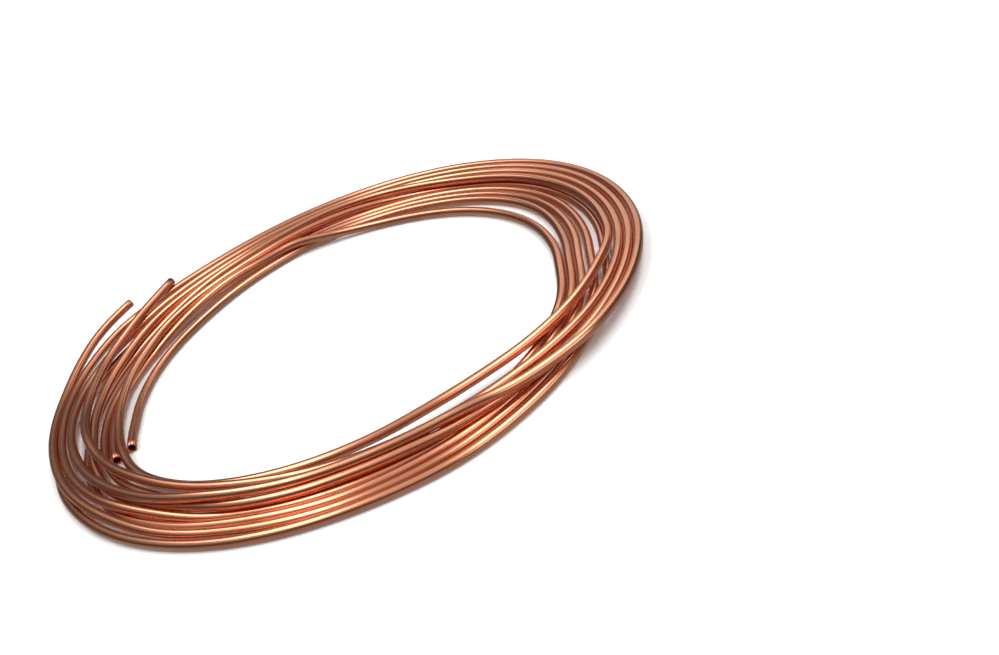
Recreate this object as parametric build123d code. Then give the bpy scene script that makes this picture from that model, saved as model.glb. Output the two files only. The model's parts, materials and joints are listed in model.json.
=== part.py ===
"""Copper tube coil: two lengths of soft copper tube, each wound into a flat coil.

One coil lies on the floor. The other lies on it, a little to one side, so the two rings
cross at two places. Each coil is one turned solid whose turns show as ridges on both faces, and both
cut ends of each tube stand free of the turns. Millimetres, +Z up, the floor at z = 0.
"""
from build123d import *
import math
import os

# The tube, quarter-inch soft copper.
TUBE_OD = 6.35
TUBE_WALL = 0.76

# The coils: both have the same outermost turn, measured to the middle of the tube.
OUTER_TURN_RADIUS = 195.0
LOWER_TURNS = 5
UPPER_TURNS = 4
TURN_EASE = 0.15
GROOVE_DEPTH = 2.6

# A tube on its way out of the turns, drawn inside the round of its straight end, which laps over it.
STRAND_SIDES = 8
STRAND_INSET = 0.12
END_LAP = 1.0

# Each coil's centre lies this far from the middle of the heap, one each way.
COIL_SHIFT = 12.9
COIL_SHIFT_ANGLE = 24.0
SEAT_GAP = 0.3

# The free ends that leave the outermost turns: where, how far swung out, on what bend and for how long.
LOWER_OUTER_ANGLE = 173.0
LOWER_OUTER_SWING = 8.0
LOWER_OUTER_BEND = 245.0
LOWER_OUTER_SWEEP = 27.0
UPPER_OUTER_ANGLE = 175.0
UPPER_OUTER_SWING = 4.0
UPPER_OUTER_BEND = 232.0
UPPER_OUTER_SWEEP = 30.0
OUTER_STRAIGHT = 40.0
OUTER_RISE = 6.0

# The free ends that leave the innermost turns, each on a tighter bend of its own.
LOWER_INNER_ANGLE = 95.0
LOWER_INNER_BEND = 139.0
LOWER_INNER_SWEEP = 85.0
UPPER_INNER_ANGLE = 100.0
UPPER_INNER_BEND = 153.0
UPPER_INNER_SWEEP = 85.0
INNER_SWING = 0.0
INNER_STRAIGHT = 32.0
INNER_RISE = 0.0

TUBE_RADIUS = TUBE_OD / 2
BORE_RADIUS = TUBE_RADIUS - TUBE_WALL
BAND_HEIGHT = TUBE_OD + 2 * TURN_EASE
LOWER_HEIGHT = BAND_HEIGHT / 2
UPPER_HEIGHT = LOWER_HEIGHT + BAND_HEIGHT + SEAT_GAP


def towards(bearing, rise=0.0):
    """The unit vector at this bearing, in degrees from +X, raised from the level."""
    level = math.cos(math.radians(rise))
    return Vector(
        level * math.cos(math.radians(bearing)),
        level * math.sin(math.radians(bearing)),
        math.sin(math.radians(rise)),
    )


def turned_band(centre, turns):
    """The wound turns side by side, turned in one piece with the coil's bore.

    Both faces go from groove to ridge and back over each turn, from the bore to the outside.
    """
    ridge = BAND_HEIGHT / 2
    groove = ridge - GROOVE_DEPTH
    bore_radius = OUTER_TURN_RADIUS + TUBE_RADIUS - turns * TUBE_OD
    outwards = range(2 * turns + 1)
    top = [(bore_radius + half * TUBE_RADIUS, ridge if half % 2 else groove) for half in outwards]
    bottom = [(radius, -height) for radius, height in reversed(top)]
    section = make_face(Polyline(*top, *bottom, close=True))
    return Pos(*centre) * revolve(Plane.XZ * section, Axis.Z)


def free_end(centre, radius, forward, angle, swing, bend, sweep, straight, rise):
    """A tube that leaves its turn on a bend of its own and ends in a straight round length.

    It leaves at this angle of the turn, forwards or backwards along it, swung outwards. The bend is
    drawn with flats, and the straight length is round, with its bore given apart.
    """
    start = centre + towards(angle) * radius
    heading = angle + forward * (90 - swing)
    inward = heading + forward * 90
    own_centre = start + towards(inward) * bend
    first = inward + 180
    last = first + forward * sweep

    section = Pos(bend, 0) * RegularPolygon(TUBE_RADIUS - STRAND_INSET, STRAND_SIDES)
    strand = revolve(Plane.XZ * section, Axis.Z, sweep)
    strand = Pos(*own_centre) * Rot(0, 0, min(first, last)) * strand

    way = towards(last + forward * 90, rise)
    seat = Plane(origin=own_centre + towards(last) * bend - way * END_LAP, z_dir=way)
    lift = (Align.CENTER, Align.CENTER, Align.MIN)
    outside = seat * Cylinder(TUBE_RADIUS, straight, align=lift)
    bore = seat * Cylinder(BORE_RADIUS, straight, align=lift)
    return strand + outside, bore


def coil(centre, turns, outer, inner):
    """One coil: its turned band with both free ends, bored at the ends."""
    inner_radius = OUTER_TURN_RADIUS - (turns - 1) * TUBE_OD
    outer_tube, outer_bore = free_end(centre, OUTER_TURN_RADIUS, -1, *outer, OUTER_STRAIGHT, OUTER_RISE)
    inner_tube, inner_bore = free_end(centre, inner_radius, 1, *inner, INNER_STRAIGHT, INNER_RISE)
    return turned_band(centre, turns) + outer_tube + inner_tube - outer_bore - inner_bore


aside = towards(COIL_SHIFT_ANGLE) * COIL_SHIFT
lower_centre = Vector(0, 0, LOWER_HEIGHT) - aside
upper_centre = Vector(0, 0, UPPER_HEIGHT) + aside

lower_tube_coil = coil(
    lower_centre,
    LOWER_TURNS,
    (LOWER_OUTER_ANGLE, LOWER_OUTER_SWING, LOWER_OUTER_BEND, LOWER_OUTER_SWEEP),
    (LOWER_INNER_ANGLE, INNER_SWING, LOWER_INNER_BEND, LOWER_INNER_SWEEP),
)
upper_tube_coil = coil(
    upper_centre,
    UPPER_TURNS,
    (UPPER_OUTER_ANGLE, UPPER_OUTER_SWING, UPPER_OUTER_BEND, UPPER_OUTER_SWEEP),
    (UPPER_INNER_ANGLE, INNER_SWING, UPPER_INNER_BEND, UPPER_INNER_SWEEP),
)

os.makedirs("parts", exist_ok=True)
export_step(lower_tube_coil, "parts/lower_tube_coil.step")
export_step(upper_tube_coil, "parts/upper_tube_coil.step")
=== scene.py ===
# %% [markdown]
# A loose coil of soft copper tube, lying on a pale table. Two lengths of the same tube are wound into flat
# rings, and one ring has been dropped on the other a little off its centre. This file loads the plain solids
# of the two rings, works out the real hollow tubes that they stand for, gives them a bright drawn copper
# finish, and lights them softly.

# %% Load the frame
import json
import math

import bpy
import numpy as np
from mathutils import Matrix, Vector


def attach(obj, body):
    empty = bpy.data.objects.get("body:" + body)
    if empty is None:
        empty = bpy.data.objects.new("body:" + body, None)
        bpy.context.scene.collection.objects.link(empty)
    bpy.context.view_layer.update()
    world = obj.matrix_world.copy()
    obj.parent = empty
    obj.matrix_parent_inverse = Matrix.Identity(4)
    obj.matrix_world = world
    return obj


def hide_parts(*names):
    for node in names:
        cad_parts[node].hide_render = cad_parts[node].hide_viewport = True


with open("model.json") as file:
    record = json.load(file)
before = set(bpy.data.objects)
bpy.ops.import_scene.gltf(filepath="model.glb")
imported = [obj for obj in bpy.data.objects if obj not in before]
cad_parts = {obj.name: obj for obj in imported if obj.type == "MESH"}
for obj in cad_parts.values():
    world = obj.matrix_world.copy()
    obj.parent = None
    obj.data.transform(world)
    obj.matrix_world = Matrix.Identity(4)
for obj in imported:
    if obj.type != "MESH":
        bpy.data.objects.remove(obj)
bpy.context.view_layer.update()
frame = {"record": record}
record = frame["record"]

# %% [markdown]
# Everything on this object is measured in tube widths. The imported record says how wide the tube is, because
# its four cut ends are stated there as places for a fitting. The wall of quarter-inch soft tube is 0.76 mm.

# %% The tube's own sizes
TUBE_RADIUS = record["mounts"][0]["dims"]["r_mm"] / 1000
TUBE_WIDTH = 2 * TUBE_RADIUS
WALL = 0.00076
print("tube width", TUBE_WIDTH)

# %% [markdown]
# The camera stands in front of the coil, looks down on it at about 29 degrees and is rolled, so that the
# level ring seems to climb to the right. Its place is a distance, a tilt and a roll, and the point of the
# picture where the coil's middle falls fixes the last two directions. The wound heap has an axis of its own,
# a few millimetres from the middle of the frame, and the camera and both tubes are placed from that axis.

# %% Camera
PICTURE = (999, 655)
FOCAL_PIXELS = 1340.0
SENSOR_WIDTH = 36.0
NEAREST_SEEN = 0.01
CAMERA_DISTANCE = 141.0 * TUBE_WIDTH
CAMERA_TILT = math.radians(28.8)
CAMERA_ROLL = math.radians(-23.4)
MIDDLE_AT = (345.6, 340.1)
HEAP_AXIS = Vector((-0.0026, -0.00835, 0))

level = Vector((1, 0, 0))
ahead = Vector((0, math.cos(CAMERA_TILT), -math.sin(CAMERA_TILT)))
above = level.cross(ahead)
camera_right = level * math.cos(CAMERA_ROLL) + above * math.sin(CAMERA_ROLL)
camera_up = above * math.cos(CAMERA_ROLL) - level * math.sin(CAMERA_ROLL)
across = (MIDDLE_AT[0] - PICTURE[0] / 2) / FOCAL_PIXELS
down = (MIDDLE_AT[1] - PICTURE[1] / 2) / FOCAL_PIXELS
camera_place = (camera_up * down - camera_right * across - ahead) * CAMERA_DISTANCE + HEAP_AXIS

camera_data = bpy.data.cameras.new("camera")
camera_data.sensor_width = SENSOR_WIDTH
camera_data.lens = SENSOR_WIDTH * FOCAL_PIXELS / PICTURE[0]
camera_data.clip_start = NEAREST_SEEN
camera = bpy.data.objects.new("camera", camera_data)
turned = Matrix((camera_right, camera_up, -ahead)).transposed().to_4x4()
camera.matrix_world = Matrix.Translation(camera_place) @ turned
bpy.context.scene.collection.objects.link(camera)
bpy.context.scene.camera = camera
print("camera at", [round(v, 3) for v in camera_place])

# %% [markdown]
# A coiled tube is one long line, so each tube gets a winding chart: where its middle passes at a number of
# bearings, as bearing in degrees, distance from the coil's axis and height, the last two in tube widths. The
# bearings keep counting up from turn to turn. A helix would be quicker, but soft tube that has been handled
# never lies that evenly: turns drift from the inner side to the outer side, ride over each other and leave
# gaps. The chart only has to be roughly right, because the next step lets the turns settle.

# %% The winding charts
LOWER_CHART = [
    (131.5, 37.1, 2.5), (135, 37.1, 2.4), (139, 37.1, 2.2), (143, 36.7, 2.1), (147, 36.1, 2.0),
    (154, 35.1, 1.8), (161, 34.2, 1.6), (170, 33.4, 1.6), (180, 32.6, 1.6), (195, 31.6, 1.4),
    (210, 30.6, 1.1), (225, 29.9, 0.7), (240, 29.6, 0.5), (270, 29.8, 0.5), (285, 29.8, 0.5),
    (300, 29.4, 0.5), (330, 28.3, 0.5), (350, 27.3, 0.5), (360, 27.6, 0.5), (390, 28.8, 0.5),
    (420, 29.0, 0.5), (450, 29.0, 0.5), (465, 29.6, 0.5), (480, 30.7, 0.5), (495, 31.5, 0.5),
    (510, 32.0, 0.5), (540, 32.4, 0.5), (570, 31.6, 0.5), (600, 31.0, 0.5), (630, 30.9, 0.5),
    (645, 31.2, 0.5), (660, 30.8, 0.5), (675, 30.2, 0.5), (690, 29.6, 0.5), (710, 28.8, 0.5),
    (720, 29.1, 0.5), (750, 29.9, 0.5), (775, 30.1, 0.55), (790, 29.9, 0.9), (800, 29.6, 1.3),
    (812, 29.2, 1.5), (830, 28.6, 1.5), (850, 27.9, 1.5), (870, 26.7, 1.4), (900, 25.5, 1.0),
    (925, 25.0, 0.8), (940, 24.2, 0.8), (960, 23.3, 1.0), (990, 22.8, 1.3), (1010, 23.1, 1.5),
    (1020, 23.7, 1.5), (1035, 25.5, 1.6), (1050, 27.4, 1.7), (1060, 28.5, 1.7), (1070, 29.6, 1.6),
    (1080, 29.9, 1.55), (1110, 30.2, 1.5), (1140, 30.1, 1.6), (1155, 30.4, 1.8), (1165, 30.4, 2.0),
    (1178, 30.3, 1.8), (1190, 30.2, 1.55), (1205, 30.1, 1.3), (1218, 29.9, 0.8), (1230, 29.6, 0.5),
    (1245, 29.1, 0.5), (1260, 28.9, 0.5), (1275, 29.2, 0.5), (1290, 29.4, 0.5), (1305, 29.1, 0.5),
    (1320, 28.5, 0.5), (1350, 28.6, 0.5), (1380, 28.2, 0.5), (1410, 27.0, 0.5), (1430, 26.0, 0.5),
    (1440, 26.4, 0.5), (1470, 27.7, 0.5), (1500, 27.9, 0.5), (1530, 27.9, 0.5), (1560, 27.8, 0.5),
    (1590, 27.4, 0.5), (1620, 27.1, 0.5), (1633, 27.1, 0.5), (1644, 26.7, 0.5), (1655, 26.0, 0.5),
    (1666, 25.7, 0.5), (1680, 25.8, 0.5), (1710, 26.4, 0.5), (1740, 26.0, 0.5), (1770, 24.9, 0.5),
    (1790, 24.0, 0.5), (1800, 24.0, 0.5), (1820, 24.2, 0.5), (1845, 24.4, 0.5), (1860, 24.6, 0.5),
    (1880, 25.3, 0.7), (1890, 26.0, 1.1), (1900, 26.8, 1.3), (1912, 27.3, 1.3), (1930, 27.4, 0.9),
    (1950, 27.0, 0.6), (1980, 26.4, 0.5), (1992, 26.1, 0.5),
]
UPPER_CHART = [
    (124, 34.7, 2.5), (130, 33.4, 2.5), (137, 32.3, 2.4), (150, 31.1, 2.2), (160, 30.1, 2.2),
    (170, 29.4, 2.1), (180, 28.6, 2.1), (195, 27.2, 1.9), (210, 25.8, 1.8), (225, 24.9, 1.6),
    (240, 24.4, 1.5), (270, 25.2, 1.5), (300, 27.1, 1.6), (330, 29.8, 1.6), (350, 30.7, 1.55),
    (360, 30.9, 1.5), (390, 31.3, 1.5), (420, 31.3, 1.5), (450, 31.3, 1.5), (480, 31.1, 1.5),
    (495, 30.5, 1.55), (510, 29.5, 1.5), (525, 28.7, 1.45), (540, 28.3, 1.3), (552, 28.4, 0.9),
    (562, 28.2, 0.65), (571, 27.75, 0.7), (580, 27.4, 1.0), (590, 27.15, 1.35), (600, 27.1, 1.5),
    (630, 27.2, 1.5), (645, 27.8, 1.5), (660, 28.8, 1.5), (675, 30.2, 1.55), (690, 31.0, 1.55),
    (710, 31.7, 1.5), (720, 31.9, 1.5), (750, 32.4, 1.5), (780, 32.5, 1.5), (810, 32.5, 1.5),
    (840, 32.6, 1.5), (870, 32.1, 1.6), (885, 31.4, 1.7), (900, 30.4, 1.8), (915, 29.2, 1.8),
    (930, 28.0, 1.9), (945, 27.2, 2.15), (960, 26.7, 2.25), (975, 26.4, 2.1), (990, 26.3, 2.05),
    (1005, 27.3, 2.2), (1020, 29.5, 2.3), (1035, 31.2, 2.0), (1050, 32.0, 1.6), (1070, 32.7, 1.5),
    (1080, 32.9, 1.5), (1110, 33.4, 1.5), (1140, 33.6, 1.5), (1170, 33.8, 1.5), (1200, 34.2, 1.5),
    (1210, 34.8, 1.5), (1218, 35.1, 1.5), (1230, 34.3, 1.5), (1240, 33.4, 1.5), (1250, 32.4, 1.5),
    (1260, 31.6, 1.5), (1275, 30.5, 1.5), (1290, 29.4, 1.45), (1305, 28.3, 1.0), (1320, 27.5, 0.6),
    (1335, 27.4, 0.5), (1350, 27.5, 0.5), (1380, 27.1, 0.5), (1410, 25.9, 0.5), (1430, 25.0, 0.5),
    (1440, 25.3, 0.5), (1470, 26.7, 0.5), (1500, 26.8, 0.5), (1530, 26.8, 0.5), (1550, 25.9, 0.5),
    (1570, 24.8, 0.5), (1590, 24.3, 0.5), (1610, 23.9, 0.5), (1620, 23.9, 0.5), (1630, 24.5, 0.5),
]
STEP = 2
STEPS_A_TURN = 360 // STEP


def wind(chart):
    """The tube's middle at every step of bearing, read off its chart.

    Between two points of the chart each value follows the cubic that meets both and keeps the slope
    of the line through their neighbours, so the tube has no corner anywhere.
    """
    bearing, lane, height = np.array(chart, float).T
    count = np.arange(math.ceil(bearing[0] / STEP), math.floor(bearing[-1] / STEP) + 1)
    at = count * STEP
    left = np.clip(np.searchsorted(bearing, at, side="right") - 1, 0, len(bearing) - 2)
    span = bearing[left + 1] - bearing[left]
    t = (at - bearing[left]) / span
    values = []
    for known in (lane, height):
        slope = np.gradient(known, bearing)
        rise = (
            (2 * t**3 - 3 * t**2 + 1) * known[left]
            + (t**3 - 2 * t**2 + t) * span * slope[left]
            + (3 * t**2 - 2 * t**3) * known[left + 1]
            + (t**3 - t**2) * span * slope[left + 1]
        )
        values.append(rise)
    return count, np.array(values)


lower_count, lower_line = wind(LOWER_CHART)
upper_count, upper_line = wind(UPPER_CHART)
print("turns", [round(len(c) / STEPS_A_TURN, 2) for c in (lower_count, upper_count)])

# %% [markdown]
# Settling the turns. At one bearing the coil is a heap of round discs on a line, so both tubes are laid out
# as rows of a table with one column for each bearing, and any two discs of a column that bite into each
# other are pushed apart along the line between their middles. The floor holds them up, each tube is drawn
# back towards its chart until the last fifth of the rounds, and every change is spread along the tube,
# because a tube is stiff and can't kink. A physics simulation could give such a heap too, but this way is
# quick and gives the same result in every run.

# %% Let the turns settle
CLEAR = 1.03
FLOOR = 0.5
ROUNDS = 900
CHARTED_SHARE = 0.8
CHART_PULL = 0.01
PUSH_SHARE = 0.7
SPREAD_PASSES = 14
LAST_SPREAD_PASSES = 4
LEAST_APART = 1e-6


def table_of(count, first_row):
    """Row and column of every step of a tube in the table of turns."""
    row = first_row + count // STEPS_A_TURN - count[0] // STEPS_A_TURN
    return row, count % STEPS_A_TURN


def spread(change, passes):
    """A change along a tube, averaged with its neighbours a number of times."""
    for _ in range(passes):
        ends = np.concatenate((change[:, :1], change, change[:, -1:]), axis=1)
        change = (ends[:, :-2] + 2 * ends[:, 1:-1] + ends[:, 2:]) / 4
    return change


def settle(tubes):
    """Both tubes with no disc of a column closer to another than one tube width.

    tubes holds (count, line) pairs, where line is lane and height in tube widths at every step. Two
    discs bite by what is missing between their middles, and each of them gives way by half of that.
    """
    places = []
    first_row = 0
    for count, _ in tubes:
        row, column = table_of(count, first_row)
        places.append((row, column))
        first_row = row[-1] + 1
    rows = first_row
    lines = [line.copy() for _, line in tubes]
    charts = [line.copy() for _, line in tubes]
    one, other = np.triu_indices(rows, 1)
    for turn in range(ROUNDS):
        last = turn > ROUNDS * CHARTED_SHARE
        heap = np.full((2, rows, STEPS_A_TURN), np.nan)
        for (row, column), line in zip(places, lines):
            heap[:, row, column] = line
        gap = heap[:, one] - heap[:, other]
        apart = np.sqrt((gap**2).sum(0))
        bite = np.nan_to_num(np.clip(CLEAR - apart, 0, None))
        push = np.nan_to_num(gap / np.maximum(apart, LEAST_APART)) * bite / 2
        total = np.zeros_like(heap)
        for axis in range(2):
            np.add.at(total[axis], one, push[axis])
            np.add.at(total[axis], other, -push[axis])
        for index, (row, column) in enumerate(places):
            change = total[:, row, column] * PUSH_SHARE
            if not last:
                change += (charts[index] - lines[index]) * CHART_PULL
            lines[index] += spread(change, LAST_SPREAD_PASSES if last else SPREAD_PASSES)
            lines[index][1] = np.maximum(lines[index][1], FLOOR)
    print("deepest bite left", round(float(bite.max()), 3), "tube widths")
    return lines


lower_line, upper_line = settle([(lower_count, lower_line), (upper_count, upper_line)])
print("highest", round(float(max(lower_line[1].max(), upper_line[1].max())), 2))

# %% [markdown]
# The tube itself. Its surface is one closed grid: it runs along the outside from one cut end to the other,
# turns over the rim, comes back along the bore and turns over the other rim. Every ring of the grid is a
# circle square to the tube's line, so the whole tube is one array of points, and the bore is really hollow.
# A curve with a round bevel would be quicker, but it would have no wall and no rim. The bore has half as
# many rings as the outside, because it is only seen at the ends.

# %% Carry a ring along the tube's line
RING = 32
RIM_ROUND = 0.00014
BORE_STRIDE = 2


def tube_line(count, line):
    """The tube's middle in metres: distance and height turned to x, y and z at each bearing."""
    bearing = np.radians(count * STEP)
    lane, height = line * TUBE_WIDTH
    x = HEAP_AXIS.x + lane * np.cos(bearing)
    y = HEAP_AXIS.y + lane * np.sin(bearing)
    return np.stack((x, y, height), axis=1)


def make_tube(name, middle):
    """A hollow tube along a line of points.

    At each point, the way along comes from its neighbours, sideways is level and square to it, and a
    ring point is the middle plus radius times (cosine sideways plus sine upwards).
    """
    way = np.gradient(middle, axis=0)
    way /= np.linalg.norm(way, axis=1, keepdims=True)
    side = np.cross((0.0, 0.0, 1.0), way)
    side /= np.linalg.norm(side, axis=1, keepdims=True)
    lift = np.cross(way, side)
    last = len(middle) - 1
    along = np.concatenate(([0], np.cumsum(np.linalg.norm(np.diff(middle, axis=0), axis=1))))

    bore = TUBE_RADIUS - WALL
    out = np.arange(last + 1)
    back = np.append(np.arange(last, 0, -BORE_STRIDE), 0)
    rim_size = np.array([TUBE_RADIUS - RIM_ROUND, bore + RIM_ROUND])
    station = np.concatenate((out, [last, last], back, [0, 0]))
    size = np.concatenate(
        (np.full(len(out), TUBE_RADIUS), rim_size, np.full(len(back), bore), rim_size[::-1])
    )
    ahead_by = np.concatenate(
        (np.zeros(len(out)), [RIM_ROUND] * 2, np.zeros(len(back)), [-RIM_ROUND] * 2)
    )

    turn = np.arange(RING) * 2 * np.pi / RING
    sideways = np.cos(turn)[None, :, None] * side[station][:, None]
    upwards = np.sin(turn)[None, :, None] * lift[station][:, None]
    centre = middle[station] + way[station] * ahead_by[:, None]
    points = centre[:, None] + size[:, None, None] * (sideways + upwards)

    rings = len(station)
    i, j = np.meshgrid(np.arange(rings), np.arange(RING), indexing="ij")
    next_i, next_j = (i + 1) % rings, (j + 1) % RING
    corners = (i * RING + j, i * RING + next_j, next_i * RING + next_j, next_i * RING + j)
    quads = np.stack(corners, axis=-1).reshape(-1, 4)

    mesh = bpy.data.meshes.new(name)
    mesh.from_pydata(points.reshape(-1, 3).tolist(), [], quads.tolist())
    length_at = along[station]
    u = np.stack((length_at[i], length_at[i], length_at[next_i], length_at[next_i]), axis=-1)
    v = np.stack((j, j + 1, j + 1, j), axis=-1) / RING
    layer = mesh.uv_layers.new(name="along_and_round")
    layer.data.foreach_set("uv", np.stack((u, v), axis=-1).reshape(-1).astype(np.float32))
    mesh.polygons.foreach_set("use_smooth", np.ones(len(quads), bool))
    mesh.update()
    tube = bpy.data.objects.new(name, mesh)
    bpy.context.scene.collection.objects.link(tube)
    print(name, "length", round(float(along[-1]), 2), "m,", 2 * len(quads), "triangles")
    return tube


lower_tube = make_tube("lower_tube", tube_line(lower_count, lower_line))
upper_tube = make_tube("upper_tube", tube_line(upper_count, upper_line))

# %% [markdown]
# Bright drawn copper. A metal shows mostly what stands around it, so the colour is the metal's own pale
# orange pink and the rest is in the gloss. Drawing the tube through a die leaves fine lines along it, which
# the tube's own map follows: noise that is stretched far along the length and little around it. Air leaves
# brown tarnish in large soft patches and paler blooms, hands leave long duller tones, and there are a few
# dark specks. A painted picture could show all that, but noise needs no picture and suits any length.
#
# Each noise below is turned into an amount: from one noise value to another, the amount goes from its first
# number to its second. The map is measured in metres along the tube and in turns around it.

# %% Drawn copper
BRIGHT_COPPER = (0.77, 0.315, 0.18, 1.0)
TARNISHED_COPPER = (0.48, 0.17, 0.092, 1.0)
BLOOMED_COPPER = (0.76, 0.38, 0.24, 1.0)
HANDLED_COPPER = (0.40, 0.17, 0.105, 1.0)
SPECK_BROWN = (0.16, 0.08, 0.05, 1.0)

LINES_STRETCH = (5.0, 26.0, 1.0)
BLOOMS_STRETCH = (26.0, 2.0, 1.0)
HANDLED_STRETCH = (2.6, 0.8, 1.0)
SPECKS_STRETCH = (330.0, 6.6, 1.0)
PATCHES_SCALE = 24.0

TARNISH_AMOUNT = (0.42, 0.72, 0.0, 0.55)
BLOOMS_AMOUNT = (0.5, 0.75, 0.0, 0.3)
HANDLED_AMOUNT = (0.42, 0.62, 0.0, 0.4)
SPECKS_AMOUNT = (0.76, 0.80, 0.0, 0.75)
LINES_ROUGHNESS = (0.3, 0.7, 0.15, 0.23)
PATCHES_ROUGHNESS = (0.4, 0.75, 0.0, 0.10)
LINES_BUMP = 0.02
LINES_DEPTH = 0.00012


def drawn_copper():
    """Copper with lines along the tube, tarnish, blooms, handled tones and specks, worked out by nodes."""
    material = bpy.data.materials.new("drawn_copper")
    material.use_nodes = True
    tree = material.node_tree
    shader = tree.nodes["Principled BSDF"]
    shader.inputs["Metallic"].default_value = 1.0

    def node(kind, **settings):
        made = tree.nodes.new(kind)
        for key, value in settings.items():
            setattr(made, key, value)
        return made

    def noise(vector, scale, detail):
        made = node("ShaderNodeTexNoise")
        made.inputs["Scale"].default_value = scale
        made.inputs["Detail"].default_value = detail
        tree.links.new(vector, made.inputs["Vector"])
        return made.outputs["Fac"]

    def stretched(vector, scale):
        made = node("ShaderNodeMapping")
        made.inputs["Scale"].default_value = scale
        tree.links.new(vector, made.inputs["Vector"])
        return made.outputs["Vector"]

    def ranged(value, low, high, to_low, to_high):
        made = node("ShaderNodeMapRange", clamp=True)
        made.inputs["From Min"].default_value = low
        made.inputs["From Max"].default_value = high
        made.inputs["To Min"].default_value = to_low
        made.inputs["To Max"].default_value = to_high
        tree.links.new(value, made.inputs["Value"])
        return made.outputs["Result"]

    def mixed(amount, first, second):
        # Of a Mix node's sockets, inputs 6 and 7 are its two colours and output 2 is the mixed colour.
        made = node("ShaderNodeMix", data_type="RGBA")
        tree.links.new(amount, made.inputs["Factor"])
        for socket, colour in ((made.inputs[6], first), (made.inputs[7], second)):
            if isinstance(colour, tuple):
                socket.default_value = colour
            else:
                tree.links.new(colour, socket)
        return made.outputs[2]

    in_space = node("ShaderNodeTexCoord").outputs["Object"]
    on_tube = node("ShaderNodeUVMap", uv_map="along_and_round").outputs["UV"]
    lines = noise(stretched(on_tube, LINES_STRETCH), scale=1.0, detail=3.0)
    patches = noise(in_space, scale=PATCHES_SCALE, detail=3.0)
    blooms = noise(stretched(on_tube, BLOOMS_STRETCH), scale=1.0, detail=3.0)
    handled = noise(stretched(on_tube, HANDLED_STRETCH), scale=1.0, detail=2.0)
    specks = noise(stretched(on_tube, SPECKS_STRETCH), scale=1.0, detail=1.0)

    colour = mixed(ranged(patches, *TARNISH_AMOUNT), BRIGHT_COPPER, TARNISHED_COPPER)
    colour = mixed(ranged(blooms, *BLOOMS_AMOUNT), colour, BLOOMED_COPPER)
    colour = mixed(ranged(handled, *HANDLED_AMOUNT), colour, HANDLED_COPPER)
    colour = mixed(ranged(specks, *SPECKS_AMOUNT), colour, SPECK_BROWN)
    tree.links.new(colour, shader.inputs["Base Color"])

    gloss = node("ShaderNodeMath", operation="ADD")
    tree.links.new(ranged(lines, *LINES_ROUGHNESS), gloss.inputs[0])
    tree.links.new(ranged(patches, *PATCHES_ROUGHNESS), gloss.inputs[1])
    tree.links.new(gloss.outputs["Value"], shader.inputs["Roughness"])

    bump = node("ShaderNodeBump")
    bump.inputs["Strength"].default_value = LINES_BUMP
    bump.inputs["Distance"].default_value = LINES_DEPTH
    tree.links.new(lines, bump.inputs["Height"])
    tree.links.new(bump.outputs["Normal"], shader.inputs["Normal"])
    return material


copper = drawn_copper()
for tube, solid in ((lower_tube, "lower_tube_coil"), (upper_tube, "upper_tube_coil")):
    tube.data.materials.append(copper)
    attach(tube, "root")
    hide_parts(solid)
print("finish:", copper.name)

# %% [markdown]
# The table is one large sheet of white paper. Copper that lies on white paper would mirror a broad white
# band from below, which makes it look washed out, so the table is kept out of mirrored rays, and the sky in
# the next step has a weaker light of its own there.

# %% Table
TABLE_REACH = 6.0
PAPER_WHITE = (0.96, 0.96, 0.96, 1.0)
PAPER_ROUGHNESS = 0.9

table_mesh = bpy.data.meshes.new("table")
table_corners = [
    (-TABLE_REACH, -TABLE_REACH, 0),
    (TABLE_REACH, -TABLE_REACH, 0),
    (TABLE_REACH, TABLE_REACH, 0),
    (-TABLE_REACH, TABLE_REACH, 0),
]
table_mesh.from_pydata(table_corners, [], [(0, 1, 2, 3)])
table = bpy.data.objects.new("table", table_mesh)
bpy.context.scene.collection.objects.link(table)
paper = bpy.data.materials.new("white_paper")
paper.use_nodes = True
paper_shader = paper.node_tree.nodes["Principled BSDF"]
paper_shader.inputs["Base Color"].default_value = PAPER_WHITE
paper_shader.inputs["Roughness"].default_value = PAPER_ROUGHNESS
table_mesh.materials.append(paper)
table.visible_glossy = False
print("table reaches", TABLE_REACH, "m each way")

# %% [markdown]
# The light comes from a studio sky, dim near the horizon, with two broad soft lamps high up, one left and
# one right of the coil. A tube can only mirror a lamp where it lies across the view, so the front and the
# back of the coil get long bright streaks, and its left and right sides keep a dim even sheen. Lamp objects
# could do this too, but a sky that is worked out from directions makes patches with edges as soft as one
# likes. The Standard view shows white paper as plain white, where Blender's usual view would grey it.

# %% Studio sky
SKY_CLIMB = (0.32, 0.9)
SKY_STRENGTH = (0.11, 0.74)
GROUND_FADE = (-0.3, 0.1)
GROUND_STRENGTH = 0.30
SKY_WHITE = (1.0, 1.0, 1.0, 1.0)
LAMP_CORE = 0.3
LAMPS = [
    ((-0.38, 0.1, 0.92), (0.2, 0.78, 0.75), 5.0),
    ((0.4, 0.1, 0.9), (0.26, 0.78, 0.75), 5.0),
]


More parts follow.
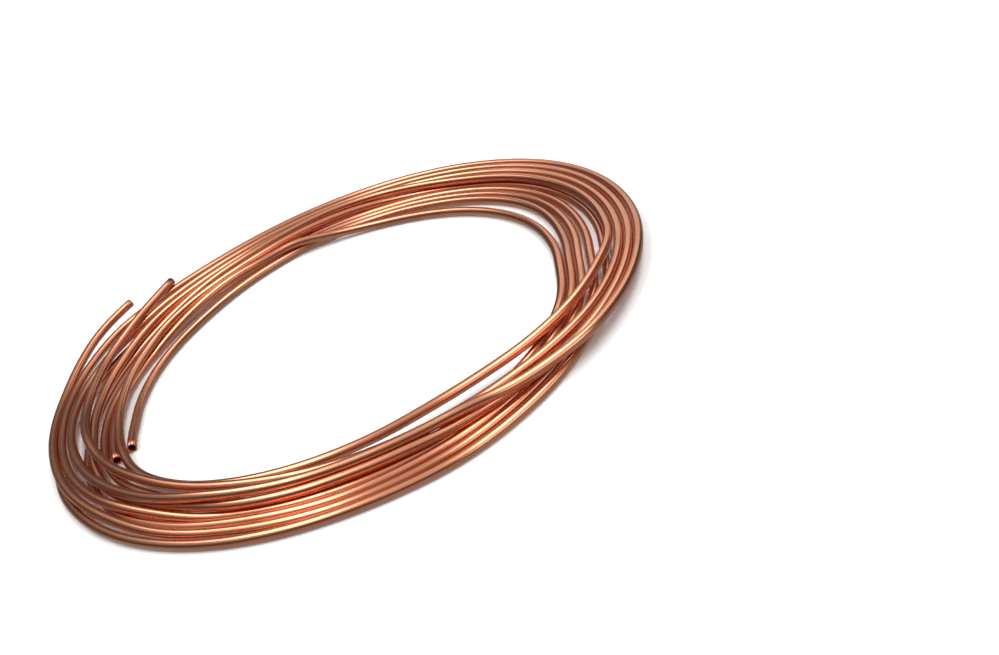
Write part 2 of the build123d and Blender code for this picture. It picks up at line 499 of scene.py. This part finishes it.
def studio_sky():
    """Light from all round, worked out from the direction it comes from.

    The strength climbs with height above the horizon and again below it, where the light that the table
    throws back would come from. Every lamp adds a soft patch: a direction's offset from the lamp is
    divided by the lamp's reach, and its length is 0 in the middle and 1 at the patch's edge.
    """
    sky = bpy.data.worlds.new("studio_sky")
    sky.use_nodes = True
    tree = sky.node_tree
    direction = tree.nodes.new("ShaderNodeTexCoord").outputs["Generated"]

    def ranged(value, low, high, to_low, to_high):
        made = tree.nodes.new("ShaderNodeMapRange")
        made.interpolation_type = "SMOOTHSTEP"
        for socket, number in zip(made.inputs[1:5], (low, high, to_low, to_high)):
            socket.default_value = number
        tree.links.new(value, made.inputs["Value"])
        return made.outputs["Result"]

    def added(first, second):
        made = tree.nodes.new("ShaderNodeMath")
        tree.links.new(first, made.inputs[0])
        tree.links.new(second, made.inputs[1])
        return made.outputs["Value"]

    def combined(operation, vector, constant=(0.0, 0.0, 0.0)):
        made = tree.nodes.new("ShaderNodeVectorMath")
        made.operation = operation
        made.inputs[1].default_value = constant
        tree.links.new(vector, made.inputs[0])
        return made.outputs["Value" if operation == "LENGTH" else "Vector"]

    split = tree.nodes.new("ShaderNodeSeparateXYZ")
    tree.links.new(direction, split.inputs["Vector"])
    strength = added(
        ranged(split.outputs["Z"], *SKY_CLIMB, *SKY_STRENGTH),
        ranged(split.outputs["Z"], *GROUND_FADE, GROUND_STRENGTH, 0.0),
    )
    for place, reach, power in LAMPS:
        offset = combined("SUBTRACT", direction, place)
        offset = combined("DIVIDE", offset, reach)
        away = combined("LENGTH", offset)
        strength = added(strength, ranged(away, LAMP_CORE, 1.0, power, 0.0))
    background = tree.nodes["Background"]
    background.inputs["Color"].default_value = SKY_WHITE
    tree.links.new(strength, background.inputs["Strength"])
    return sky


bpy.context.scene.world = studio_sky()
bpy.context.scene.view_settings.view_transform = "Standard"
print("lamps in the sky:", len(LAMPS))

# %% [markdown]
# The right side of the coil is lighter than the left one. A sky can't do that, because it is equally far
# from both sides, so two small soft panels stand close to the right side, one behind it and one in front.
# Each has a place, a point that it faces, a size and a power in watts, and the camera doesn't see them.

# %% Soft panels
PANELS = [
    ("back_panel", Vector((0.3, 0.3, 0.19)), Vector((0.2, 0.0, 0.0)), (0.36, 0.3), 0.26),
    ("front_panel", Vector((0.35, -0.37, 0.14)), Vector((0.1, -0.17, 0.0)), (0.42, 0.2), 0.38),
]

for panel_name, panel_place, panel_aim, panel_size, panel_power in PANELS:
    panel_light = bpy.data.lights.new(panel_name, "AREA")
    panel_light.shape = "RECTANGLE"
    panel_light.size, panel_light.size_y = panel_size
    panel_light.energy = panel_power
    panel = bpy.data.objects.new(panel_name, panel_light)
    panel.location = panel_place
    panel.rotation_euler = (panel_aim - panel_place).to_track_quat("-Z", "Y").to_euler()
    panel.visible_camera = False
    bpy.context.scene.collection.objects.link(panel)
print("panels:", len(PANELS))
